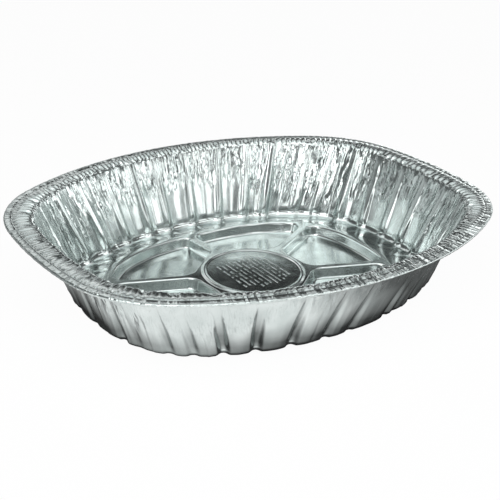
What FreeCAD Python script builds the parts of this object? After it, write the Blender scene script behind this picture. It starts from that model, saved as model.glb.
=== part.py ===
import FreeCAD, Part
import math
import os

# Foil roasting pan
# An oval pan pressed from one sheet of soft aluminium. The sheet rises from a
# floor with six sunk panels, gathers into flutes up the wall, rolls over a round
# shoulder and ends in a curled bead. Millimetres, +Z up, X along the pan, and
# the origin on the table under the middle of the floor.

DIMENSIONS = (
    # The sheet and the overall form
    ("foil_thickness", 0.15, "thickness of the sheet"),
    ("pan_height", 81.5, "table to the top of the flange"),
    ("rim_length", 460, "over the bead, end to end"),
    ("rim_width", 364, "over the bead, side to side"),
    ("rim_side_radius", 346, "bow of each long side of the rim"),
    ("rim_end_radius", 420, "bow of each end of the rim"),
    ("rim_corner_radius", 106.5, "round of each rim corner"),
    # The foot of the wall
    ("end_set_in", 51.5, "rim edge to foot of the wall at an end"),
    ("side_set_in", 45.3, "rim edge to foot of the wall at a side"),
    ("foot_side_radius", 290, "bow of each long side of the foot"),
    ("foot_end_radius", 208, "bow of each end of the foot"),
    ("foot_corner_radius", 90, "round of each foot corner"),
    ("foot_rise", 4.5, "table to the underside of the foot"),
    ("foot_bend", 6, "size of the bend from wall to floor"),
    # The rolled rim
    ("bead_diameter", 3, "curled edge, outside"),
    ("flange_width", 6.2, "rim edge to the pressed crease"),
    ("crease_width", 1.6, "across the crease"),
    ("crease_depth", 0.9, "depth of the crease"),
    ("shoulder_side_reach", 12.5, "rim edge to the crest of the shoulder at a side"),
    ("shoulder_end_reach", 19.5, "rim edge to the crest of the shoulder at an end"),
    ("shoulder_rise", 0.9, "crest of the shoulder above the flange"),
    ("shoulder_round", 8, "radius by which the shoulder turns down into the wall"),
    # The flutes
    ("flute_count", 36, "gathered panels round the wall"),
    ("groove_share", 0.3, "share of a flute taken by its groove"),
    ("fold_depth_foot", 4.6, "depth of a groove at the foot"),
    ("fold_depth_middle", 2.6, "depth of a groove half way up"),
    ("fold_depth_top", 1.1, "depth of a groove under the shoulder"),
    # The floor
    ("web_rise", 10.5, "table to the underside of the web"),
    ("web_margin", 4, "web left outside the sunk panels"),
    ("panel_end_margin", 42.2, "foot of the wall to a panel at an end"),
    ("panel_side_margin", 35.2, "foot of the wall to a panel at a side"),
    ("panel_squareness", 2.63, "exponent of the panels' oval outer line"),
    ("panel_corner_radius", 11, "rounded corners of a panel"),
    ("panel_wall_lean", 2.6, "how far a panel's wall leans in"),
    ("spoke_width", 7, "web between two panels"),
    ("hub_radius", 56, "middle of the floor to a panel"),
    ("first_spoke_angle", 30, "degrees from +X"),
    ("second_spoke_angle", 95, "degrees from +X"),
    ("third_spoke_angle", 160, "degrees from +X"),
    # The round medallion in the middle of the floor
    ("ring_radius", 48, "medallion ring, to its crest"),
    ("ring_width", 1.6, "flat on the crest of the ring"),
    ("ring_flank", 2.2, "each side of the ring, in plan"),
    ("ring_height", 1.4, "crest above the web"),
    ("medallion_height", 0.5, "edge of the medallion above the web"),
    ("medallion_dome", 0.6, "rise from the medallion's edge to its middle"),
)

doc = FreeCAD.newDocument("FoilRoastingPan")
sheet = doc.addObject("Spreadsheet::Sheet", "Dimensions")
for line, (alias, value, meaning) in enumerate(DIMENSIONS, start=1):
    sheet.set("A%d" % line, meaning)
    sheet.set("B%d" % line, str(value))
    sheet.setAlias("B%d" % line, alias)
doc.recompute()
size = {alias: float(getattr(sheet, alias)) for alias, value, meaning in DIMENSIONS}

FOIL = size["foil_thickness"]
Vector = FreeCAD.Vector


# Outlines in plan

class Oval:
    """Closed outline of two bowed sides and two bowed ends, with rounded corners.

    A place on it is given in quarter turns: 0 is on +X, 1 on +Y, 2 on -X, and
    within each quarter it goes in step with the length of the outline.
    """

    def __init__(self, length, width, side_radius, end_radius, corner_radius):
        side_middle = Vector(0, width / 2 - side_radius, 0)
        end_middle = Vector(length / 2 - end_radius, 0, 0)
        # The corner arc touches both bows, so its middle lies this far from theirs
        from_side = side_radius - corner_radius
        from_end = end_radius - corner_radius
        along = end_middle - side_middle
        apart = along.Length
        along.normalize()
        across = Vector(-along.y, along.x, 0)
        foot = (from_side**2 - from_end**2 + apart**2) / (2 * apart)
        lift = math.sqrt(max(from_side**2 - foot**2, 0))
        corner_middle = max((side_middle + along * foot + across * (sign * lift)
                             for sign in (1, -1)), key=lambda p: p.x + p.y)
        to_end = corner_middle - end_middle
        to_side = corner_middle - side_middle
        end_angle = math.atan2(to_end.y, to_end.x)
        side_angle = math.atan2(to_side.y, to_side.x)
        self.arcs = (
            (end_middle, end_radius, 0, end_angle),
            (corner_middle, corner_radius, end_angle, side_angle),
            (side_middle, side_radius, side_angle, math.pi / 2),
        )
        self.quarter_length = sum(r * (b - a) for middle, r, a, b in self.arcs)

    def at(self, place, set_in=0, height=0):
        """The point at a place, moved square into the outline by set_in."""
        quarter = math.floor(place) % 4
        share = place - math.floor(place)
        if quarter in (1, 3):
            share = 1 - share
        run = share * self.quarter_length
        for middle, radius, start, stop in self.arcs:
            if run <= radius * (stop - start) or stop == math.pi / 2:
                break
            run -= radius * (stop - start)
        angle = start + run / radius
        x = middle.x + (radius - set_in) * math.cos(angle)
        y = middle.y + (radius - set_in) * math.sin(angle)
        return Vector(-x if quarter in (1, 2) else x, -y if quarter in (2, 3) else y, height)


rim = Oval(size["rim_length"], size["rim_width"], size["rim_side_radius"],
           size["rim_end_radius"], size["rim_corner_radius"])
foot_length = size["rim_length"] - 2 * size["end_set_in"]
foot_width = size["rim_width"] - 2 * size["side_set_in"]
foot = Oval(foot_length, foot_width, size["foot_side_radius"],
            size["foot_end_radius"], size["foot_corner_radius"])


def panel_line(angle, beyond=0):
    """Distance from the middle of the floor to the panels' outer line."""
    half_length = foot_length / 2 - size["panel_end_margin"] + beyond
    half_width = foot_width / 2 - size["panel_side_margin"] + beyond
    power = size["panel_squareness"]
    return (abs(math.cos(angle) / half_length) ** power
            + abs(math.sin(angle) / half_width) ** power) ** (-1 / power)


# The stations round the pan
# Each flute has five: its groove, the groove's two lips, and two on the panel,
# which bows outward between the lips. A station is its place and its fold, the
# share of the fold depth by which the wall stands inward there.

PANEL_BOW = -0.3
# On the side nearest the viewer the sheet gathered unevenly as it was drawn. For
# each such groove, by number: how far it stands aside, as a share of a flute.
GROOVE_SHIFTS = {20: 0.3, 23: -0.35, 24: -0.5, 25: -0.45, 26: -0.4, 27: -0.2, 28: -0.1, 29: 0.45}
flutes = int(round(size["flute_count"]))
lip = size["groove_share"] / 2
inner = (1 + 2 * lip) / 4 + lip / 2
STATIONS = []
for flute in range(flutes):
    this_shift = GROOVE_SHIFTS.get(flute, 0)
    next_shift = GROOVE_SHIFTS.get(flute + 1, 0)
    for share, fold in ((-0.5, 1.0), (-0.5 + lip, 0.0), (-0.5 + inner, PANEL_BOW),
                        (0.5 - inner, PANEL_BOW), (0.5 - lip, 0.0)):
        shift = this_shift + (next_shift - this_shift) * (share + 0.5)
        STATIONS.append((4 * (flute + share + shift) / flutes, fold))


# The inside face of the sheet, from the floor's web out to the end of the curl

def web_edge(place, fold):
    out = foot.at(place)
    angle = math.atan2(out.y, out.x)
    reach = panel_line(angle, beyond=size["web_margin"])
    return Vector(reach * math.cos(angle), reach * math.sin(angle), size["web_rise"] + FOIL)


def foot_row(set_in, rise, fold_share):
    """A row of the bend between the floor and the wall."""
    def point(place, fold):
        return foot.at(place, set_in + fold * fold_share * size["fold_depth_foot"],
                       size["foot_rise"] + FOIL + rise)
    return point


def wall_row(share, fold_depth):
    """A row of the wall, at a share of the way from its foot to the shoulder."""
    def point(place, fold):
        low = foot.at(place, fold * fold_depth, size["foot_rise"] + FOIL + size["foot_bend"])
        high = shoulder_row(WALL_TOP_ANGLE)(place, 0)
        high = high - (foot.at(place) - foot.at(place, fold * fold_depth))
        return low + (high - low) * share
    return point


WALL_TOP_ANGLE = 68


def crest_reach(place):
    """Rim edge to the crest of the shoulder, which is widest round the ends."""
    from_end = abs(place / 2 - round(place / 2)) * 2
    share = min(max((from_end - 0.3) / 0.45, 0), 1)
    share *= share * (3 - 2 * share)
    end, side = size["shoulder_end_reach"], size["shoulder_side_reach"]
    return end + (side - end) * share


def shoulder_row(turned, fold_share=0):
    """A row of the shoulder's round, turned from level at its crest toward upright."""
    def point(place, fold):
        angle = math.radians(turned)
        set_in = crest_reach(place) + size["shoulder_round"] * math.sin(angle)
        drop = size["shoulder_round"] * (1 - math.cos(angle))
        return rim.at(place, set_in + fold * fold_share * size["fold_depth_top"],
                      size["pan_height"] + size["shoulder_rise"] - drop)
    return point


def flange_row(set_in, drop):
    def point(place, fold):
        return rim.at(place, set_in, size["pan_height"] - drop)
    return point


def bead_row(turned, radius):
    """A row of the curl: 90 is its top, 0 its outermost line, and so on under."""
    middle = size["bead_diameter"] / 2

    def point(place, fold):
        angle = math.radians(turned)
        return rim.at(place, middle - radius * math.cos(angle),
                      size["pan_height"] - middle + radius * math.sin(angle))
    return point


bend = size["foot_bend"]
sheet_rows = [
    web_edge,
    foot_row(1.1 * bend, 0, 0.35),
    foot_row(0.35 * bend, 0.25 * bend, 0.8),
    wall_row(0, size["fold_depth_foot"]),
    wall_row(0.5, size["fold_depth_middle"]),
    wall_row(1, size["fold_depth_top"]),
    shoulder_row(45, 0.7),
    shoulder_row(22, 0.3),
    shoulder_row(0),
    flange_row(size["flange_width"] + 2 * size["crease_width"], -0.6 * size["shoulder_rise"]),
    flange_row(size["flange_width"] + size["crease_width"] / 2, size["crease_depth"]),
    flange_row(size["flange_width"], 0),
]
CURL = (90, 45, 0, -60, -120, -180)
bead_radius = size["bead_diameter"] / 2

inside_face = [[row(*station) for station in STATIONS] for row in sheet_rows]
curl_outside = [[bead_row(turned, bead_radius)(*station) for station in STATIONS]
                for turned in CURL]
curl_inside = [[bead_row(turned, bead_radius - FOIL)(*station) for station in STATIONS]
               for turned in CURL]


def sheet_back(rows, number):
    """The same row on the sheet's other face, one thickness away."""
    row = rows[number]
    if number == 0:
        return [point - Vector(0, 0, FOIL) for point in row]
    back = []
    for station, point in enumerate(row):
        along = rows[number + 1][station] - rows[number - 1][station]
        round_pan = row[(station + 1) % len(row)] - row[station - 1]
        square = round_pan.cross(along)
        square.normalize()
        back.append(point + square * FOIL)
    return back


# Facets of the closed sheet
# Every point is kept once, and every facet is three points in turn.

points = []
facets = []
numbers = {}


def number_of(point):
    key = (round(point.x, 5), round(point.y, 5), round(point.z, 5))
    if key not in numbers:
        numbers[key] = len(points)
        points.append(point)
    return numbers[key]


def add_facet(first, second, third):
    corners = (number_of(first), number_of(second), number_of(third))
    if len(set(corners)) == 3:
        facets.append(corners)


def cuts_between(near, far):
    """Which way each four-cornered place between two rows is cut in two.

    The shorter way fits the folds best. Both faces of the sheet are cut alike,
    because where a place is twisted they would otherwise pass through each other.
    """
    cuts = []
    for station, corner in enumerate(near):
        after = (station + 1) % len(near)
        cuts.append((far[after] - corner).Length < (far[station] - near[after]).Length)
    return cuts


def add_strip(near, far, cuts, turned_over=False):
    """Facets between two closed rows of equally many points."""
    for station, from_near in enumerate(cuts):
        after = (station + 1) % len(near)
        if from_near:
            halves = ((near[station], near[after], far[after]),
                      (near[station], far[after], far[station]))
        else:
            halves = ((near[station], near[after], far[station]),
                      (near[after], far[after], far[station]))
        for half in halves:
            add_facet(*(half[::-1] if turned_over else half))


def add_fan(row, middle):
    for station in range(len(row)):
        add_facet(row[station], row[(station + 1) % len(row)], middle)


def add_flat(outline, holes, facing_up):
    """Facets of a level region with holes."""
    wires = [Part.makePolygon(loop + loop[:1]) for loop in [outline] + holes]
    face = Part.makeFace(wires, "Part::FaceMakerBullseye")
    corners, triangles = face.tessellate(1)
    for one, two, three in triangles:
        a, b, c = corners[one], corners[two], corners[three]
        up = (b - a).cross(c - a).z > 0
        if up == facing_up:
            add_facet(a, b, c)
        else:
            add_facet(a, c, b)


# The floor

def corner_points(radius_across, radius_along, across, along, steps=3):
    """A rounded corner, in shares of a panel's half width and half depth."""
    turn = {(1, 1): 0, (-1, 1): 90, (-1, -1): 180, (1, -1): 270}[(across, along)]
    for step in range(steps + 1):
        angle = math.radians(turn + 90 * step / steps)
        yield (across - radius_across * (across - math.cos(angle)),
               along - radius_along * (along - math.sin(angle)))


def panel_loop(start_angle, stop_angle, grown, height):
    """The closed line of one sunk panel, grown outward by a few tenths or less."""
    half_spoke = size["spoke_width"] / 2 - grown
    near = size["hub_radius"] - grown
    middle = math.radians(start_angle + stop_angle) / 2
    half_turn = math.radians(stop_angle - start_angle) / 2
    radius = max(size["panel_corner_radius"] + grown, 1)

    def half_angle(reach):
        return half_turn - math.asin(min(half_spoke / reach, 0.9))

    def place(across, along):
        # A first reach gives the direction, which then gives the true one
        far = panel_line(middle + across * half_turn * 0.9, grown)
        for again in range(3):
            reach = near + (far - near) * (along + 1) / 2
            angle = middle + across * half_angle(reach)
            far = panel_line(angle, grown)
        reach = near + (far - near) * (along + 1) / 2
        return Vector(reach * math.cos(angle), reach * math.sin(angle), height)

    depth = (panel_line(middle, grown) - near) / 2
    far_share = min(radius / (half_angle(2 * depth + near) * (2 * depth + near)), 0.6)
    near_share = min(radius / (half_angle(near) * near), 0.8)
    along_share = min(radius / depth, 0.6)
    flat_steps = 6
    path = list(corner_points(far_share, along_share, 1, 1))
    path += [(share * (1 - far_share), 1)
             for share in (1 - 2 * step / flat_steps for step in range(1, flat_steps))]
    path += list(corner_points(far_share, along_share, -1, 1))
    path += list(corner_points(near_share, along_share, -1, -1))
    path += list(corner_points(near_share, along_share, 1, -1))
    return [place(across, along) for across, along in reversed(path)]


def ring_loop(radius, height):
    count = 48
    return [Vector(radius * math.cos(2 * math.pi * step / count),
                   radius * math.sin(2 * math.pi * step / count), height)
            for step in range(count)]


spokes = [size["first_spoke_angle"], size["second_spoke_angle"], size["third_spoke_angle"]]
spokes += [angle + 180 for angle in spokes]
panels = list(zip(spokes, spokes[1:] + [spokes[0] + 360]))

lean = size["panel_wall_lean"]
wall_angle = math.atan2(lean, size["web_rise"])
# How far each bend of a panel's wall lies outward on the sheet's other face
mitre = FOIL * (1 - math.sin(wall_angle)) / math.cos(wall_angle)


def add_floor(edge, level, grown, facing_up):
    """One face of the floor: web, sunk panels, ring and medallion."""
    def strip(near, far):
        add_strip(near, far, [True] * len(near), turned_over=not facing_up)

    web = size["web_rise"] + level
    tops = [panel_loop(start, stop, grown, web) for start, stop in panels]
    floors = [panel_loop(start, stop, grown - lean, level) for start, stop in panels]
    crest = size["ring_radius"]
    half = size["ring_width"] / 2
    side = half + size["ring_flank"]
    ring = [ring_loop(crest + side, web), ring_loop(crest + half, web + size["ring_height"]),
            ring_loop(crest - half, web + size["ring_height"]),
            ring_loop(crest - side, web + size["medallion_height"])]
    add_flat(edge, tops + ring[:1], facing_up)
    for top, low in zip(tops, floors):
        strip(top, low)
        add_flat(low, [], facing_up)
    for outer, nearer in zip(ring, ring[1:]):
        strip(outer, nearer)
    crown = Vector(0, 0, web + size["medallion_height"] + size["medallion_dome"])
    add_fan(ring[-1] if facing_up else ring[-1][::-1], crown)


full_rows = inside_face + curl_outside
back_face = [sheet_back(full_rows, number) for number in range(len(inside_face))]

add_floor(inside_face[0], FOIL, 0, True)
add_floor(back_face[0], 0, mitre, False)
back_rows = back_face + curl_inside
for number in range(len(full_rows) - 1):
    cuts = cuts_between(full_rows[number], full_rows[number + 1])
    add_strip(full_rows[number], full_rows[number + 1], cuts, turned_over=True)
    add_strip(back_rows[number], back_rows[number + 1], cuts)
# The cut edge of the sheet, at the end of the curl
add_strip(back_rows[-1], full_rows[-1], [True] * len(STATIONS))


# The solid

skin = Part.Shape()
skin.makeShapeFromMesh((points, facets), 0.001, False)
solid = Part.Solid(Part.Shell(skin.Faces))
if solid.Volume < 0:
    solid.reverse()

pan = doc.addObject("Part::Feature", "roasting_pan")
pan.Label = "roasting_pan"
pan.Shape = solid
pan.Placement = FreeCAD.Placement(Vector(0, 0, 0), FreeCAD.Rotation())
doc.recompute()

for item in doc.Objects:
    if "Invalid" in item.State or "Error" in item.State:
        raise RuntimeError("%s did not recompute: %s" % (item.Name, item.State))
if pan.Shape.isNull() or not pan.Shape.isValid() or not pan.Shape.isClosed():
    raise RuntimeError("the pan's solid is not sound")

os.makedirs("parts", exist_ok=True)
pan.Shape.exportStep("parts/%s.step" % pan.Label)

box = pan.Shape.BoundBox
print("roasting_pan: %.1f x %.1f x %.1f mm, from z %.2f, %d facets, %.1f cm3, %.0f g"
      % (box.XLength, box.YLength, box.ZLength, box.ZMin, len(facets),
         pan.Shape.Volume / 1000, pan.Shape.Volume * 2.71e-3))
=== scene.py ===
# %% [markdown]
# # A foil roasting pan
# The pan is one sheet of soft aluminium, pressed into an oval dish. What makes
# it look like foil is relief: wide flutes with sharp folds between them, fine
# creases that the wall gathered as it was drawn, a ribbed shoulder, and a floor
# with sunk panels. So nearly all of the work here is mesh, and one metal
# finish covers it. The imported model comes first, as a fixed frame to fit.

import math

import bmesh
import bpy
from mathutils import Matrix, Quaternion, Vector, noise


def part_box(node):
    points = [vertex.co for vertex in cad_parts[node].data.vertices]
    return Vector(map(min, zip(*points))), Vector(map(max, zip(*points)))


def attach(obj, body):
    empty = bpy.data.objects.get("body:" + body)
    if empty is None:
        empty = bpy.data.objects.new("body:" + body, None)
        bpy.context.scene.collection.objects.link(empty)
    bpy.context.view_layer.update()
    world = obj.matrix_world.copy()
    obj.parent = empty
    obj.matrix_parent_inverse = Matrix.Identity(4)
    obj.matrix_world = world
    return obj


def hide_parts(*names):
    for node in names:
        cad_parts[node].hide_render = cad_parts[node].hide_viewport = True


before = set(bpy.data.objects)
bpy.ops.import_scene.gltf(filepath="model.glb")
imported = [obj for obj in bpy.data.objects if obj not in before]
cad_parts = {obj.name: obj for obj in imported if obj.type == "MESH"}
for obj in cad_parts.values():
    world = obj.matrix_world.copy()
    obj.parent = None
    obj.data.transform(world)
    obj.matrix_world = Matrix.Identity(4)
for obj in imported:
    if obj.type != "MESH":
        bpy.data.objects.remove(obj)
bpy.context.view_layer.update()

MM = 0.001
TURN = 2 * math.pi
low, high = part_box("roasting_pan")
RIM_LENGTH = high[0] - low[0]
RIM_WIDTH = high[1] - low[1]
RIM_TOP = high[2]
print("pan: %.1f x %.1f x %.1f mm" % (RIM_LENGTH / MM, RIM_WIDTH / MM, RIM_TOP / MM))

# %% [markdown]
# ## The two outlines
# The rim and the foot of the wall are both ovals of shallow bows joined by
# rounder corners. An ellipse would be quicker, but its ends are too pointed
# and its sides too round for this pan. A place on an outline is counted in
# quarter turns, so that place 0 is at one end, 1 at one side, and a fold that
# keeps its place runs straight down the wall.

# %% Oval outlines
class Oval:
    def __init__(self, length, width, side_radius, end_radius, corner_radius):
        side_middle = Vector((0, width / 2 - side_radius))
        end_middle = Vector((length / 2 - end_radius, 0))
        from_side = side_radius - corner_radius
        from_end = end_radius - corner_radius
        along = end_middle - side_middle
        apart = along.length
        along.normalize()
        across = Vector((-along.y, along.x))
        share = (from_side**2 - from_end**2 + apart**2) / (2 * apart)
        lift = math.sqrt(max(from_side**2 - share**2, 0))
        corner_middle = max((side_middle + along * share + across * lift * sign
                             for sign in (1, -1)), key=lambda p: p.x + p.y)
        end_turn = math.atan2(*(corner_middle - end_middle).yx)
        side_turn = math.atan2(*(corner_middle - side_middle).yx)
        self.arcs = ((end_middle, end_radius, 0, end_turn),
                     (corner_middle, corner_radius, end_turn, side_turn),
                     (side_middle, side_radius, side_turn, math.pi / 2))
        self.quarter = sum(r * (b - a) for middle, r, a, b in self.arcs)

    def at(self, place, set_in=0.0, height=0.0):
        quarter = math.floor(place) % 4
        share = place - math.floor(place)
        if quarter in (1, 3):
            share = 1 - share
        run = share * self.quarter
        for middle, radius, start, stop in self.arcs:
            if run <= radius * (stop - start) or middle is self.arcs[-1][0]:
                break
            run -= radius * (stop - start)
        turn = start + run / radius
        x = middle.x + (radius - set_in) * math.cos(turn)
        y = middle.y + (radius - set_in) * math.sin(turn)
        return Vector((-x if quarter in (1, 2) else x, -y if quarter in (2, 3) else y, height))


END_SET_IN, SIDE_SET_IN = 51.5 * MM, 45.3 * MM
FOOT_LENGTH, FOOT_WIDTH = RIM_LENGTH - 2 * END_SET_IN, RIM_WIDTH - 2 * SIDE_SET_IN
rim = Oval(RIM_LENGTH, RIM_WIDTH,
           side_radius=346 * MM, end_radius=420 * MM, corner_radius=106.5 * MM)
foot = Oval(FOOT_LENGTH, FOOT_WIDTH,
            side_radius=290 * MM, end_radius=208 * MM, corner_radius=90 * MM)
print("rim round: %.0f mm, foot round: %.0f mm" % (4 * rim.quarter / MM, 4 * foot.quarter / MM))

# %% [markdown]
# ## The smooth sheet
# Before any relief, the pan is a ring of sections: out from the floor's web,
# round the bend at the foot, up the wall, over the shoulder, across the crease
# and the flange, and round the curl. Each row of the mesh is one line of that
# section carried round the oval. Rows lie close together where the sheet bends
# and further apart up the wall.

# %% Rows of the section
FOIL = 0.15 * MM
FOOT_RISE = 4.5 * MM + FOIL
FOOT_BEND = 6 * MM
FOOT_STRETCH = 1.15
WEB_RISE = 10.5 * MM + FOIL
CREST_REACH_SIDE, CREST_REACH_END = 12.5 * MM, 19.5 * MM
SHOULDER_RISE = 0.9 * MM
SHOULDER_ROUND = 8 * MM
SHOULDER_END = 9 * MM
ROUND_SHARE = 0.6
WALL_TOP_TURN = 68
CREASE_DEPTH = 0.4 * MM
FLANGE_FALL, NEAR_FALL = 0.15 * MM, 0.6 * MM
BEAD = 1.5 * MM
FLANGE_TOP = RIM_TOP - SHOULDER_RISE

WEB_AT_END, WEB_AT_SIDE = 42.2 * MM, 35.2 * MM
PANEL_LENGTH = FOOT_LENGTH - 2 * WEB_AT_END
PANEL_WIDTH = FOOT_WIDTH - 2 * WEB_AT_SIDE
PANEL_SQUARENESS = 2.63


def panel_line(turn, beyond=0.0):
    """How far out the panels reach at a turn about the middle of the floor."""
    return (abs(math.cos(turn) / (PANEL_LENGTH / 2 + beyond)) ** PANEL_SQUARENESS
            + abs(math.sin(turn) / (PANEL_WIDTH / 2 + beyond)) ** PANEL_SQUARENESS
            ) ** (-1 / PANEL_SQUARENESS)


def ease(value, start, stop):
    """0 before start and 1 after stop, with a smooth rise between them."""
    share = min(max((value - start) / (stop - start), 0), 1)
    return share * share * (3 - 2 * share)


def crest_reach(place):
    """Rim edge to the crest of the shoulder, which is widest round the ends."""
    from_end = abs(place / 2 - round(place / 2)) * 2
    share = ease(from_end, 0.3, 0.75)
    return CREST_REACH_END + (CREST_REACH_SIDE - CREST_REACH_END) * share


def web_row(place, beyond=4 * MM):
    """The level web, a little way outside the panels."""
    out = foot.at(place)
    turn = math.atan2(out.y, out.x)
    reach = panel_line(turn, beyond)
    return Vector((reach * math.cos(turn), reach * math.sin(turn), WEB_RISE))


def foot_row(place, turned):
    """The bend at the foot, from 0, level, to 90, upright."""
    turn = math.radians(turned)
    return foot.at(place, FOOT_STRETCH * FOOT_BEND * (1 - math.sin(turn)),
                   FOOT_RISE + FOOT_BEND * (1 - math.cos(turn)))


def shoulder_row(place, turned):
    """The shoulder's round, from 0, level at its crest, toward upright."""
    turn = math.radians(turned)
    return rim.at(place, crest_reach(place) + SHOULDER_ROUND * math.sin(turn),
                  RIM_TOP - SHOULDER_ROUND * (1 - math.cos(turn)))


def crest_row(place, share):
    """The near level top of the shoulder, from its crest to the crease."""
    reach = crest_reach(place)
    return rim.at(place, reach + (SHOULDER_END - reach) * share,
                  RIM_TOP - 0.5 * SHOULDER_RISE * share**2)


def near_side(place):
    """1 along the side that gathered most unevenly, falling to 0 round its corners."""
    return ease(abs(place - 2.75), 0.85, 0.6)


def flange_fall(place):
    """How far the flange falls to its edge. On the near side it has been bent down a little."""
    return FLANGE_FALL + (NEAR_FALL - FLANGE_FALL) * near_side(place)


def flange_row(place, set_in, drop, fall=0):
    return rim.at(place, set_in, FLANGE_TOP - drop - fall * flange_fall(place))


def bead_row(place, turned):
    turn = math.radians(turned)
    return rim.at(place, BEAD - BEAD * math.cos(turn),
                  FLANGE_TOP - flange_fall(place) - BEAD + BEAD * math.sin(turn))


def between(first, second, share):
    return lambda place: first(place).lerp(second(place), share)


rows = [("floor", 0, lambda place: web_row(place, 3 * MM)), ("floor", 0, web_row)]
rows += [("floor", step / 4, between(web_row, lambda place: foot_row(place, 0), step / 4))
         for step in range(1, 4)]
rows += [("foot", turned / 90, lambda place, turned=turned: foot_row(place, turned))
         for turned in (0, 30, 55, 78)]
WALL_ROWS = 13
rows += [("wall", step / WALL_ROWS,
          between(lambda place: foot_row(place, 90),
                  lambda place: shoulder_row(place, WALL_TOP_TURN), step / WALL_ROWS))
         for step in range(WALL_ROWS + 1)]
rows += [("shoulder", ROUND_SHARE * (1 - turned / WALL_TOP_TURN),
          lambda place, turned=turned: shoulder_row(place, turned))
         for turned in (57, 46, 35, 24, 12, 0)]
rows += [("shoulder", ROUND_SHARE + (1 - ROUND_SHARE) * share,
          lambda place, share=share: crest_row(place, share))
         for share in (0.5, 1)]
# The crease and the flange: share, set-in and drop in mm, and share of the flange's fall
FLANGE_SECTION = ((0, 7.6, 0.2, 0), (0, 7.0, CREASE_DEPTH / MM, 0), (0.1, 6.4, 0.2, 0),
                  (0.5, 5.8, 0, 0.16), (1, 3.6, 0, 0.85))
rows += [("flange", share,
          lambda place, a=set_in * MM, b=drop * MM, c=fall: flange_row(place, a, b, c))
         for share, set_in, drop, fall in FLANGE_SECTION]
rows += [("bead", turned, lambda place, turned=turned: bead_row(place, turned))
         for turned in (90, 45, 5, -40, -95, -160)]
print(len(rows), "rows from the web to the end of the curl")

# %% [markdown]
# ## The flutes
# The sheet is drawn into wide panels that bow outward, with a narrow fold
# standing inward between two. Each fold is a little out of place and deeper or
# shallower than the next, because the sheet gathers by itself. A fold is sharp
# at the top and opens toward the foot.

# %% Flute relief
FLUTES = 36
DEPTH_AT_FOOT, DEPTH_AT_TOP = 4.6 * MM, 1.7 * MM
# How far a panel bows out between its folds, as a share of their depth
BOW = 0.3
# The folds on the near side gathered furthest from their places: by number, in flutes
SHIFTS = {20: 0.3, 23: -0.35, 24: -0.5, 25: -0.45, 26: -0.4, 27: -0.2, 28: -0.1, 29: 0.45}
# There they also lean, by this many flutes from foot to top, round this place
LEAN, LEANING = 0.35, 2.95


def uneven(number, seed):
    """A steady value from -1 to 1 for a numbered thing."""
    return noise.cell(Vector((number % FLUTES * 1.7 + 0.3, seed * 7.1 + 0.4, 0.2))) * 2 - 1


def fold_shift(number):
    """How far a fold stands from its even place, in flutes."""
    return SHIFTS.get(number % FLUTES, 0) + 0.06 * uneven(number, 1)


def nearest_fold(place, height=0):
    """The number of the fold nearest a place, and how far off it is, in flutes."""
    run = place / 4 * FLUTES + 0.5 - LEAN * height * (1 - ease(abs(place - LEANING), 0.15, 0.45))
    best = min(range(math.floor(run) - 1, math.floor(run) + 3),
               key=lambda number: abs(run - number - fold_shift(number)))
    return best, run - best - fold_shift(best)


def fold_relief(place, height):
    """How far the wall stands inward at a place, height being 0 to 1 up the wall."""
    fold, away = nearest_fold(place, height)
    top_depth = DEPTH_AT_TOP * (1 - 0.7 * near_side(place))
    depth = top_depth + (DEPTH_AT_FOOT - top_depth) * (1 - height) ** 1.5
    depth *= 0.72 + 0.28 * ease(height, 0, 0.15)
    depth *= 1 + 0.25 * uneven(fold, 2)
    crest = 0.03 + 0.04 * ease(height, 0, 0.35)
    flank = 0.04 + 0.17 * (1 - height) ** 1.6
    ridge = 1 - ease(abs(away), crest, crest + flank)
    return depth * (ridge - BOW * ease(abs(away), 0.1, 0.5))


# %% [markdown]
# ## The creases and ribs
# The upper wall has more sheet than it needs, so it creases: short sharp
# ridges, mostly upright, that die out into smooth metal lower down. They reach
# further down at the corners, where more sheet was gathered. Noise that is
# stretched upright and folded at its middle gives such ridges. The shoulder
# and flange are pressed between tools, so their ribs are even and run outward.

# %% Crease and rib relief
STATIONS = 30 * FLUTES
RIBS = 224
# How many ribs' widths the pattern is moved, so that ribs lie further apart round the ends
RIBS_MOVED = 3.8
RIB_HIGH = 0.6 * MM
print("ribs: %d, %.1f mm apart at the rim" % (RIBS, 4 * rim.quarter / RIBS / MM))


def corner_share(place):
    """1 at the middle of a rim corner, falling to 0 along sides and ends."""
    from_end = abs(place / 2 - round(place / 2)) * 2
    return 1 - ease(abs(from_end - 0.4), 0.1, 0.4)


def slivers(point, across, upright, seed):
    """Long upright ridges with sharp valleys between them, from 0 to about 0.6."""
    bend = noise.noise(point * 60) * 0.8
    spot = Vector((point.x / across + bend, point.y / across, point.z / upright + seed))
    return abs(noise.noise(spot) + 0.35 * noise.noise(spot * 2.1))


def creasing(point, place, height):
    """How creased the wall is at a point, from 0 to 1. The folds stay nearly smooth."""
    corner = corner_share(place)
    wander = noise.noise(Vector((point.x * 45, point.y * 45, 3.0)))
    start = 0.38 - 0.3 * corner + 0.2 * wander + 0.06 * near_side(place)
    amount = ease(height, start, start + 0.22) * (1 - 0.35 * near_side(place))
    return amount * (0.12 + 0.88 * ease(abs(nearest_fold(place, height)[1]), 0.085, 0.12))


def crease_relief(point):
    """Broad slivers with finer ones on them."""
    return (1.5 * MM * slivers(point, 6.5 * MM, 34 * MM, 0)
            + 0.7 * MM * slivers(point, 3.6 * MM, 17 * MM, 9))


def rib_relief(place, point):
    """Ribs that run outward, further apart round the ends than along the sides."""
    turns = place / 4 * RIBS - RIBS_MOVED * math.sin(math.pi * place)
    strength = 0.8 + 0.5 * noise.noise(Vector((point.x * 90, point.y * 90, 5.0)))
    strength *= 1.4 - 0.9 * near_side(place)
    return RIB_HIGH * strength * math.cos(TURN * turns)


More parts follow.
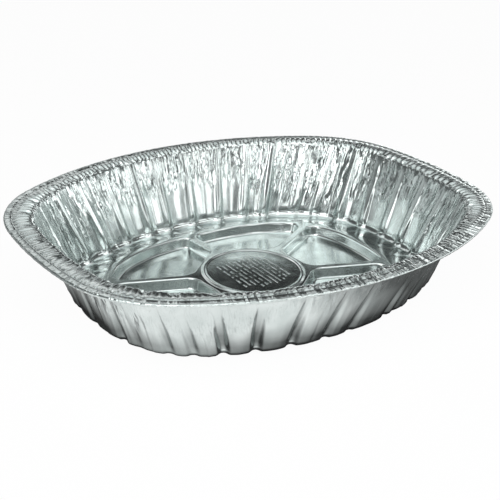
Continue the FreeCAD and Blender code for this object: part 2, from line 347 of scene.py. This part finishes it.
# The share of a fold's depth that reaches the floor, and its dip on the shoulder
FOLD_ON_FLOOR = 0.35
FOLD_DIP = 1.6 * MM


def relief(part, share, place, point):
    """How far the sheet stands inward, and how creased and how ribbed it is."""
    if part == "floor":
        return -FOLD_ON_FLOOR * share * fold_relief(place, 0), 0, 0
    if part == "foot":
        return (FOLD_ON_FLOOR + (1 - FOLD_ON_FLOOR) * share) * fold_relief(place, 0), 0, 0
    if part == "wall":
        creased = creasing(point, place, share)
        return fold_relief(place, share) + creased * crease_relief(point), creased, 0
    if part == "shoulder":
        over = 1 - ease(share, 0.0, 0.5)
        creased = over * creasing(point, place, 1)
        ribbed = ease(share, 0.05, 0.35)
        ribs = ribbed * (1 - 0.4 * ease(share, 0.8, 1)) * rib_relief(place, point)
        # Where a fold runs out over the shoulder it leaves a shallow dip
        dip = FOLD_DIP * ease(share, 0.1, 0.4) * (1 - ease(share, 0.45, 0.8))
        dip *= 1 - ease(abs(nearest_fold(place, 1)[1]), 0.04, 0.2)
        lift = over * fold_relief(place, 1) + creased * crease_relief(point) + ribs - dip
        return lift, creased, (0.3 + 0.3 * near_side(place)) * ribbed
    if part == "flange":
        return 0.2 * rib_relief(place, point) + 0.1 * MM * noise.noise(point * 600), 0, 1
    return 0.3 * MM * noise.noise(point * 500), 0, 1


# %% [markdown]
# ## Building the skin
# A closed ring of vertices is extruded row by row, and each new ring is moved
# to its line of the section. The relief is added square to the smooth sheet,
# so it needs the sheet's facing at each point, which its neighbours give.

# %% Wall, shoulder and rim
def smooth_grid():
    places = [4 * station / STATIONS for station in range(STATIONS)]
    return places, [[row(place) for place in places] for part, share, row in rows]


def facing(grid, row, station):
    """The direction square to the sheet, toward the inside of the pan."""
    along = grid[min(row + 1, len(grid) - 1)][station] - grid[max(row - 1, 0)][station]
    around = grid[row][(station + 1) % STATIONS] - grid[row][station - 1]
    return along.cross(around).normalized()


def ring_edges(bm, ring):
    return [bm.edges.get((ring[i - 1], ring[i])) for i in range(len(ring))]


def next_ring(bm, ring, places):
    """Extrudes a ring of vertices to new places, and gives the new ring."""
    made = bmesh.ops.extrude_edge_only(bm, edges=ring_edges(bm, ring))
    new = {item for item in made["geom"] if isinstance(item, bmesh.types.BMVert)}
    follow = []
    for vertex, spot in zip(ring, places):
        far = next(edge.other_vert(vertex) for edge in vertex.link_edges
                   if edge.other_vert(vertex) in new)
        far.co = spot
        follow.append(far)
    return follow


def first_ring(bm, places):
    ring = bmesh.ops.create_circle(bm, cap_ends=False, segments=len(places), radius=1)["verts"]
    for vertex, spot in zip(ring, places):
        vertex.co = spot
    return ring


skin = bmesh.new()
creased_layer = skin.verts.layers.float.new("creased")
ribbed_layer = skin.verts.layers.float.new("ribbed")
places, grid = smooth_grid()
ring = None
sheet_spots = {}
for number, (part, share, row) in enumerate(rows):
    spots, marks_here = [], []
    for station, place in enumerate(places):
        point = grid[number][station]
        lift, creased, ribbed = relief(part, share, place, point) if number else (0, 0, 0)
        spots.append(point + facing(grid, number, station) * lift)
        marks_here.append((creased, ribbed))
    if ring is None:
        ring = web_ring = first_ring(skin, spots)
    else:
        ring = next_ring(skin, ring, spots)
    for vertex, place, (creased, ribbed) in zip(ring, places, marks_here):
        vertex[creased_layer], vertex[ribbed_layer] = creased, ribbed
        sheet_spots[vertex] = (place * rim.quarter, vertex.co.z)
print("wall and rim:", len(skin.faces), "faces")

# Each face gets the run along the rim and the height as its flat coordinates, in metres
around_up = skin.loops.layers.uv.new("around_up")
for face in skin.faces:
    runs = [sheet_spots[loop.vert][0] for loop in face.loops]
    over_seam = max(runs) - min(runs) > rim.quarter
    for loop, run in zip(face.loops, runs):
        if over_seam and run < rim.quarter:
            run += 4 * rim.quarter
        loop[around_up].uv = (run, sheet_spots[loop.vert][1])

# %% [markdown]
# ## The floor
# Six fan-shaped panels are pressed down from the web, and the pan stands on
# them. Each is a closed line with rounded corners, repeated smaller and lower
# for its rolled edge, its wall and the bend at its floor. The level web and the
# panels' floors have no shape of their own, so they are filled between lines.

# %% Sunk panels
HUB = 56 * MM
HALF_SPOKE = 3.5 * MM
CORNER = 11 * MM
SPOKES = [30, 95, 160, 210, 275, 340]
PANEL_STEPS = 8
OUTER_STEPS = 16


def panel_loop(start, stop, grown, height):
    """The line of a panel between two spokes, grown outward, with rounded corners."""
    near = HUB - grown
    half_spoke = HALF_SPOKE - grown
    middle, half_turn = math.radians(start + stop) / 2, math.radians(stop - start) / 2
    radius = max(CORNER + grown, 1 * MM)

    def half_angle(reach):
        return half_turn - math.asin(half_spoke / reach)

    def spot(across, along):
        """A place in the panel, from -1 to 1 across it and from its near to its far side."""
        far = panel_line(middle + across * half_turn * 0.9, grown)
        for again in range(3):
            reach = near + (far - near) * (along + 1) / 2
            turn = middle + across * half_angle(reach)
            far = panel_line(turn, grown)
        reach = near + (far - near) * (along + 1) / 2
        return Vector((reach * math.cos(turn), reach * math.sin(turn), height))

    depth = (panel_line(middle, grown) - near) / 2
    far_share = radius / (half_angle(2 * depth + near) * (2 * depth + near))
    near_share = radius / (half_angle(near) * near)
    along_share = radius / depth
    path = []
    for across, along, turn, share in ((1, 1, 0, far_share), (-1, 1, 90, far_share),
                                       (-1, -1, 180, near_share), (1, -1, 270, near_share)):
        for step in range(PANEL_STEPS + 1):
            angle = math.radians(turn + 90 * step / PANEL_STEPS)
            path.append((across - share * (across - math.cos(angle)),
                         along - along_share * (along - math.sin(angle))))
        if along == 1 and across == 1:
            path += [((1 - far_share) * (1 - 2 * step / OUTER_STEPS), 1)
                     for step in range(1, OUTER_STEPS)]
    return [spot(across, along) for across, along in reversed(path)]


WEB_DROP = WEB_RISE - FOIL
# The section of a panel's edge: how far in, and how far down as a share
PANEL_SECTION = ((1.7, 0), (0.9, 0), (0.35, 0.03), (-0.15, 0.11), (-0.6, 0.26), (-2.0, 0.8),
                 (-2.5, 0.93), (-3.1, 0.99), (-4.0, 1), (-5.5, 1))
filled = []
panel_rings = []
for start, stop in zip(SPOKES, SPOKES[1:] + [SPOKES[0] + 360]):
    loops = [panel_loop(start, stop, grown * MM, WEB_RISE - WEB_DROP * drop)
             for grown, drop in PANEL_SECTION]
    ring = first_ring(skin, loops[0])
    panel_rings.append(ring)
    for loop in loops[1:]:
        ring = next_ring(skin, ring, loop)
    filled.append(ring_edges(skin, ring))

# %% [markdown]
# ## The medallion
# A round medallion marks the middle of the floor, inside a thin raised ring.
# Its section is carried round as rings too, because the web has to meet it.

# %% Ring and medallion
RING = 48 * MM
# How far out from the ring's middle, and how high above the web, in mm
MEDALLION_SECTION = ((4.4, 0), (3.4, 0), (2.6, 0.12), (1.6, 0.75), (0.9, 1.2), (0, 1.4),
                     (-0.9, 1.2), (-1.6, 0.85), (-2.4, 0.55), (-3.4, 0.5), (-14, 0.8), (-30, 1.0))


def round_ring(radius, height, count=96):
    return [Vector((radius * math.cos(TURN * step / count), radius * math.sin(TURN * step / count),
                    height)) for step in range(count)]


ring = medallion_ring = first_ring(skin, round_ring(RING + MEDALLION_SECTION[0][0] * MM, WEB_RISE))
for wide, rise in MEDALLION_SECTION[1:]:
    ring = next_ring(skin, ring, round_ring(RING + wide * MM, WEB_RISE + rise * MM))
filled.append(ring_edges(skin, ring))

web_edges = ring_edges(skin, web_ring) + ring_edges(skin, medallion_ring)
for ring in panel_rings:
    web_edges += ring_edges(skin, ring)
bmesh.ops.triangle_fill(skin, use_beauty=True, use_dissolve=False, edges=web_edges)
for edges in filled:
    bmesh.ops.triangle_fill(skin, use_beauty=True, use_dissolve=False, edges=edges)

bmesh.ops.recalc_face_normals(skin, faces=skin.faces)
skin.faces.ensure_lookup_table()
middle_face = min(skin.faces, key=lambda face: face.calc_center_median().xy.length)
if middle_face.normal.z < 0:
    bmesh.ops.reverse_faces(skin, faces=skin.faces)
for face in skin.faces:
    face.smooth = True
print("whole skin:", len(skin.faces), "faces")

# %% [markdown]
# ## Thickness
# Solidify gives the sheet its thickness, away from the modelled face, so the
# inside of the pan keeps its place and the outside lies one foil further out.

# %% Foil sheet object
def make_object(name, bm):
    mesh = bpy.data.meshes.new(name)
    bm.to_mesh(mesh)
    bm.free()
    item = bpy.data.objects.new(name, mesh)
    bpy.context.scene.collection.objects.link(item)
    return item


pan = make_object("foil_pan", skin)
sheet = pan.modifiers.new("foil", "SOLIDIFY")
sheet.thickness = FOIL
sheet.offset = -1

# %% [markdown]
# ## The medallion's rows
# The medallion carries rows of small raised marks in broken groups. They stand
# as plain rounded bars, placed by a steady noise, so that the rows keep their
# rhythm and no two groups are alike. Each bar is only a few dozen faces.

# %% Raised bars
ROW_PITCH = 5.2 * MM
ROWS_EACH_WAY = 5
ROWS_REACH = RING - 14 * MM
BAR_ALONG, BAR_ACROSS, BAR_HIGH = 1.6 * MM, 2.7 * MM, 0.32 * MM
BAR_ROUND = 0.35 * MM
BAR_GAP, GROUP_GAP = 0.8 * MM, 4.2 * MM
bars = bmesh.new()
count = 0
for row in range(-ROWS_EACH_WAY, ROWS_EACH_WAY + 1):
    x = row * ROW_PITCH
    reach = math.sqrt(ROWS_REACH**2 - x * x) - 6 * MM * noise.cell(Vector((row * 3.1, 0.5, 7.5)))
    y = -reach
    while y < reach - BAR_ALONG:
        chance = noise.cell(Vector((row * 1.7 + 9, y * 900, 0.5)))
        length = BAR_ALONG * (0.7 + 0.9 * chance)
        tall = BAR_ACROSS * (0.75 + 0.3 * noise.cell(Vector((row * 2.3, y * 700, 3.5))))
        made = bmesh.ops.create_cube(
            bars, size=1, matrix=Matrix.Translation((x, y + length / 2, WEB_RISE + 0.8 * MM))
            @ Matrix.Rotation(0.35 * (chance - 0.5), 4, "Z")
            @ Matrix.Diagonal((tall, length, 2 * BAR_HIGH, 1)))
        edges = {edge for vertex in made["verts"] for edge in vertex.link_edges}
        bmesh.ops.bevel(bars, geom=list(edges), offset=BAR_ROUND, offset_type="OFFSET", segments=2,
                        profile=0.5, affect="EDGES", material=-1)
        y += length + (GROUP_GAP if chance > 0.7 else BAR_GAP)
        count += 1
for face in bars.faces:
    face.smooth = True
marks = make_object("medallion_bars", bars)
print(count, "bars")

# %% [markdown]
# ## The foil finish
# Rolled foil is bright bare metal, slightly cool. It isn't a mirror: rolling
# leaves a fine grain, and handling leaves soft dents, so reflections spread and
# waver. The finish is a metal with a colour that drifts a little, roughness
# that varies by patches, and bump: broad dents, the grain, and between them
# flat slivers, long and narrow, where the mesh is creased or ribbed. Each
# sliver is a cell of a Voronoi texture with a slope of its own.

# %% Foil material
def add(tree, kind, inputs=(), **settings):
    node = tree.nodes.new(kind)
    for name, value in settings.items():
        setattr(node, name, value)
    for name, value in inputs:
        if isinstance(value, bpy.types.NodeSocket):
            tree.links.new(value, node.inputs[name])
        else:
            node.inputs[name].default_value = value
    return node


def texture(tree, kind, scale, stretch, output, **settings):
    spot = add(tree, "ShaderNodeTexCoord")
    turned = add(tree, "ShaderNodeMapping", [("Vector", spot.outputs["Object"]), ("Scale", stretch)])
    return add(tree, kind, [("Vector", turned.outputs["Vector"]), ("Scale", scale)],
               **settings).outputs[output]


def ranged(tree, value, low, high, start=0.3, stop=0.7):
    return add(tree, "ShaderNodeMapRange", [("Value", value), ("From Min", start), ("From Max", stop),
                                            ("To Min", low), ("To Max", high)]).outputs["Result"]


def add_bump(tree, height, distance, strength, before=None):
    inputs = [("Height", height), ("Distance", distance), ("Strength", strength)]
    if before is not None:
        inputs.append(("Normal", before))
    return add(tree, "ShaderNodeBump", inputs).outputs["Normal"]


DULL_METAL, BRIGHT_METAL = (0.53, 0.58, 0.57, 1), (0.63, 0.675, 0.665, 1)
foil = bpy.data.materials.new("rolled_foil")
foil.use_nodes = True
tree = foil.node_tree
metal = tree.nodes["Principled BSDF"]
metal.inputs["Metallic"].default_value = 1.0

drift = texture(tree, "ShaderNodeTexNoise", 45, (1, 1, 1), "Fac")
tint = add(tree, "ShaderNodeMix", [("Factor", ranged(tree, drift, 0, 1)), ("A", DULL_METAL),
                                   ("B", BRIGHT_METAL)], data_type="RGBA")
tree.links.new(tint.outputs["Result"], metal.inputs["Base Color"])
patches = texture(tree, "ShaderNodeTexNoise", 120, (1, 1, 0.35), "Fac")
ribbed = add(tree, "ShaderNodeAttribute", attribute_name="ribbed").outputs["Fac"]
rough = add(tree, "ShaderNodeMath", [(0, ribbed), (1, 0.04), (2, ranged(tree, patches, 0.13, 0.22))],
            operation="MULTIPLY_ADD").outputs[0]
tree.links.new(rough, metal.inputs["Roughness"])

dents = add_bump(tree, texture(tree, "ShaderNodeTexNoise", 28, (1, 1, 1), "Fac"), 0.001, 0.3)


def facets(tree, across, upright):
    """Flat slivers, each tilted its own way: a random slope for each cell."""
    spot = add(tree, "ShaderNodeUVMap", uv_map="around_up").outputs["UV"]
    wander = add(tree, "ShaderNodeTexNoise", [("Vector", spot), ("Scale", 90)]).outputs["Color"]
    bent = add(tree, "ShaderNodeVectorMath", [(0, wander), (1, (0.006, 0.006, 0)), (2, spot)],
               operation="MULTIPLY_ADD").outputs["Vector"]
    flat = add(tree, "ShaderNodeVectorMath", [(0, bent), (1, (1 / across, 1 / upright, 0))],
               operation="MULTIPLY").outputs["Vector"]
    cells = add(tree, "ShaderNodeTexVoronoi", [("Vector", flat), ("Scale", 1.0)], voronoi_dimensions="2D")
    off = add(tree, "ShaderNodeVectorMath", [(0, flat), (1, cells.outputs["Position"])],
              operation="SUBTRACT").outputs["Vector"]
    slope = add(tree, "ShaderNodeVectorMath",
                [(0, cells.outputs["Color"]), (1, (1, 2, 0)), (2, (-0.5, -1, 0))],
                operation="MULTIPLY_ADD").outputs["Vector"]
    return add(tree, "ShaderNodeVectorMath", [(0, off), (1, slope)],
               operation="DOT_PRODUCT").outputs["Value"]


creased = add(tree, "ShaderNodeAttribute", attribute_name="creased").outputs["Fac"]
creases = add_bump(tree, facets(tree, 2.7 * MM, 16 * MM), 0.0013, creased, dents)
ribs = add_bump(tree, facets(tree, 2.2 * MM, 40 * MM), 0.0009, ribbed, creases)
grain = add_bump(tree, texture(tree, "ShaderNodeTexNoise", 1500, (1, 1, 1), "Fac"), 0.00005, 0.2,
                 ribs)
tree.links.new(grain, metal.inputs["Normal"])

for piece in (pan, marks):
    piece.data.materials.append(foil)
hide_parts("roasting_pan")
for piece in (pan, marks):
    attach(piece, "root")

# %% [markdown]
# ## The table
# The pan stands on a plain white table. Most of what the camera sees of it is
# its own white, so it stays white without more light on the pan, and the rest
# is paint that takes the soft shadow. What the metal mirrors of it is painted
# shade: glossy rays see a glow that is dimmest where the pan hangs over it, and
# on the right and behind, standing in for the shadow the pan would cast there.

# %% White table
ground = bmesh.new()
bmesh.ops.create_grid(ground, x_segments=1, y_segments=1, size=8)
table = make_object("table", ground)
white = bpy.data.materials.new("white_table")
white.use_nodes = True
tree = white.node_tree
paint = tree.nodes["Principled BSDF"]
paint.inputs["Base Color"].default_value = (0.82, 0.82, 0.82, 1)
paint.inputs["Roughness"].default_value = 0.9


def math_node(tree, operation, *values):
    return add(tree, "ShaderNodeMath", list(enumerate(values)), operation=operation).outputs[0]


def toward(tree, spot, bearing):
    """How far a spot lies toward a bearing, in degrees round from the pan's long axis."""
    turn = math.radians(bearing)
    return add(tree, "ShaderNodeVectorMath", [(0, spot), (1, (math.cos(turn), math.sin(turn), 0))],
               operation="DOT_PRODUCT").outputs["Value"]


rays = add(tree, "ShaderNodeLightPath")
spot = add(tree, "ShaderNodeTexCoord").outputs["Object"]
ovals = add(tree, "ShaderNodeVectorMath", [(0, spot), (1, (2 / FOOT_LENGTH, 2 / FOOT_WIDTH, 0))],
            operation="MULTIPLY").outputs["Vector"]
ovals = add(tree, "ShaderNodeVectorMath", [(0, ovals)], operation="LENGTH").outputs["Value"]
# Painted shade for glossy rays: the mirrored table glows dimmer near the foot, to the right and behind,
# in place of the pan's cast shadow
outward = ranged(tree, ovals, 0.04, 1.2, 1.035, 1.2)
right = math_node(tree, "MAXIMUM", ranged(tree, toward(tree, spot, 325), 1, 0.12, 0.06, 0.17),
                  ranged(tree, ovals, 0, 1, 1.9, 2.5))
behind = ranged(tree, toward(tree, spot, 90), 1, 0.3, -0.02, 0.05)
painted_mirror_shade = math_node(tree, "MULTIPLY", math_node(tree, "MULTIPLY", outward, right), behind)
glossy = rays.outputs["Is Glossy Ray"]
shade = math_node(tree, "ADD", math_node(tree, "MULTIPLY", glossy, painted_mirror_shade),
                  math_node(tree, "SUBTRACT", 1.0, glossy))
share = math_node(tree, "MAXIMUM", glossy,
                  math_node(tree, "MULTIPLY", rays.outputs["Is Camera Ray"], 0.97))
glow = add(tree, "ShaderNodeEmission", [("Color", (1, 1, 1, 1)), ("Strength", shade)])
mixed = add(tree, "ShaderNodeMixShader",
            [("Fac", share), (1, paint.outputs[0]), (2, glow.outputs[0])])
tree.links.new(mixed.outputs[0], tree.nodes["Material Output"].inputs["Surface"])
table.data.materials.append(white)

# %% [markdown]
# ## Light
# Bare metal shows what stands round it more than it shows its own colour. The
# room is bright low down, where the table runs up into the backdrop, dim in the
# middle, and bright overhead. Soft boxes and strips stand in its dim part, most
# of them in front, and give the creases something bright to catch. A dark
# screen behind the pan gives the medallion something dark to mirror.

# %% Room, lamps and screen
world = bpy.data.worlds.new("pale_room")
bpy.context.scene.world = world
world.use_nodes = True
tree = world.node_tree
room = tree.nodes["Background"]
room.inputs["Color"].default_value = (0.96, 1.0, 1.0, 1)
direction = add(tree, "ShaderNodeTexCoord").outputs["Generated"]
rise = add(tree, "ShaderNodeSeparateXYZ", [("Vector", direction)]).outputs["Z"]
backdrop = math_node(tree, "MULTIPLY", ranged(tree, rise, 0.8, 0, 0.2, 0.3),
                     ranged(tree, toward(tree, direction, 108), 1, 0.6, 0.4, 0.9))
overhead = ranged(tree, rise, 0, 1.0, 0.83, 0.9)
level = math_node(tree, "ADD", math_node(tree, "ADD", backdrop, overhead), 0.14)
tree.links.new(level, room.inputs["Strength"])
world.cycles_visibility.diffuse = False


def soft_light(name, spot, aim, wide, tall, power):
    lamp = bpy.data.lights.new(name, "AREA")
    lamp.shape = "RECTANGLE"
    lamp.size, lamp.size_y, lamp.energy = wide, tall, power
    item = bpy.data.objects.new(name, lamp)
    bpy.context.scene.collection.objects.link(item)
    item.location = spot
    item.rotation_euler = (Vector(aim) - Vector(spot)).to_track_quat("-Z", "Y").to_euler()
    return item


ROOM = 3.0


def soft_box(name, bearing, rise, wide, tall, brightness):
    """A box that the metal mirrors, sized and placed by angles. It doesn't light the table."""
    turn, up = math.radians(bearing), math.radians(rise)
    spot = Vector((math.cos(turn) * math.cos(up), math.sin(turn) * math.cos(up), math.sin(up))) * ROOM
    width, height = (2 * ROOM * math.tan(math.radians(angle) / 2) for angle in (wide, tall))
    box = soft_light(name, spot, (0, 0, 0), width, height, brightness * math.pi * width * height)
    box.visible_diffuse = False


table_light = soft_light("table_light", (-0.5, -0.65, 1.15), (0, 0, 0), 1.8, 1.2, 27)
table_light.visible_glossy = False
soft_box("box_left", 222, 36, 30, 18, 3.6)
soft_box("strip_left", 200, 20, 16, 26, 2.0)
soft_box("strip_front", 252, 12, 12, 24, 2.2)
soft_box("strip_front_right", 278, 20, 10, 34, 1.9)
soft_box("strip_right", 300, 18, 12, 32, 2.0)
soft_box("strip_low_right", 336, 8, 34, 12, 1.6)
soft_box("strip_behind", 36, 8, 20, 14, 1.6)
soft_box("strip_behind_right", 20, 20, 14, 16, 1.3)
soft_box("box_behind", 82, 36, 26, 22, 0.85)
soft_box("panel_over_back", 54, 50, 40, 12, 0.75)
soft_box("panel_over_left", 202, 52, 34, 14, 1.6)
soft_box("panel_over_right", 297, 52, 58, 14, 2.1)
soft_box("panel_top", 225, 74, 40, 24, 1.6)

CAMERA_YAW = 36.23
screen = bmesh.new()
bmesh.ops.create_grid(screen, x_segments=1, y_segments=1, size=1,
                      matrix=Matrix.Rotation(math.radians(-CAMERA_YAW), 4, "Z")
                      @ Matrix.Translation((0, 1.5, 0.82)) @ Matrix.Rotation(math.pi / 2, 4, "X")
                      @ Matrix.Diagonal((0.45, 0.47, 1, 1)))
dark_screen = make_object("dark_screen", screen)
dark_screen.visible_camera = False
dull = bpy.data.materials.new("dark_cloth")
dull.use_nodes = True
dull.node_tree.nodes["Principled BSDF"].inputs["Base Color"].default_value = (0.03, 0.032, 0.032, 1)
dull.node_tree.nodes["Principled BSDF"].inputs["Roughness"].default_value = 1.0
dark_screen.data.materials.append(dull)

# %% [markdown]
# ## The camera
# The view is from above the front left corner with a fairly long lens, turned
# a little about its own axis. Depth of field stays off.

# %% Camera
CAMERA_FROM = Vector((-559.6, -756.6, 467.1)) * MM
CAMERA_PITCH, CAMERA_ROLL = -24.75, 2.77
lens = bpy.data.cameras.new("camera")
lens.lens, lens.sensor_width = 77.27, 36
lens.clip_start, lens.clip_end = 0.01, 50
camera = bpy.data.objects.new("camera", lens)
bpy.context.scene.collection.objects.link(camera)
pitch, yaw = math.radians(CAMERA_PITCH), math.radians(CAMERA_YAW)
ahead = Vector((math.sin(yaw) * math.cos(pitch), math.cos(yaw) * math.cos(pitch), math.sin(pitch)))
camera.location = CAMERA_FROM
camera.rotation_euler = (ahead.to_track_quat("-Z", "Y")
                         @ Quaternion((0, 0, 1), math.radians(CAMERA_ROLL))).to_euler()
bpy.context.scene.camera = camera
bpy.context.scene.view_settings.view_transform = "Standard"
